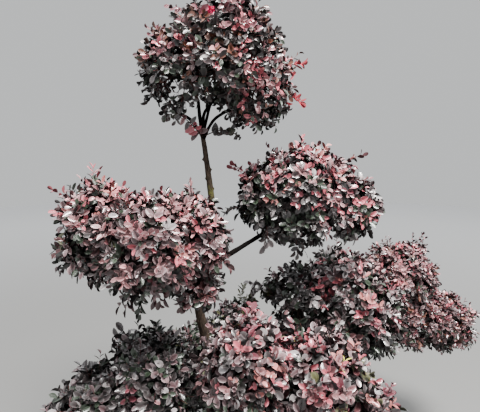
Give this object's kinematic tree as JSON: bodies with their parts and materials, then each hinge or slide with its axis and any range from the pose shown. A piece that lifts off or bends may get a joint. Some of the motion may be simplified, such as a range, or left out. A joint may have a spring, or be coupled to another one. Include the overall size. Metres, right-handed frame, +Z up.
{
  "type": "loropetalum topiary tree",
  "caption": "Cloud-pruned loropetalum tree: a leaning trunk, forked at the top, with tapering boughs that carry clipped cushions of purple foliage.",
  "frame": {"origin": "middle of the trunk's flat cut at ground level", "axes": "+Z up, +X to the right and +Y away from the viewer of the picture"},
  "size_m": [1.6952, 0.9495, 1.7779],
  "materials": {
    "bark": "rough grey-brown bark",
    "foliage": "matt purple-bronze leaves"
  },
  "bodies": {
    "root": {"trunk": "bark", "bough_right": "bark", "bough_left": "bark", "bough_low_front": "bark", "bough_low_left": "bark", "bough_low_rear": "bark", "bough_low_right": "bark", "bough_far_right": "bark", "fork_left": "bark", "fork_centre": "bark", "fork_right": "bark", "fork_low_right": "bark", "fork_rear": "bark", "foliage_top": "foliage", "foliage_left": "foliage", "foliage_right": "foliage", "foliage_low_front": "foliage", "foliage_low_left": "foliage", "foliage_low_rear": "foliage", "foliage_low_right": "foliage", "foliage_far_right": "foliage", "shoot_fork_right": "foliage", "shoot_fork_left": "foliage"}
  },
  "joints": []
}
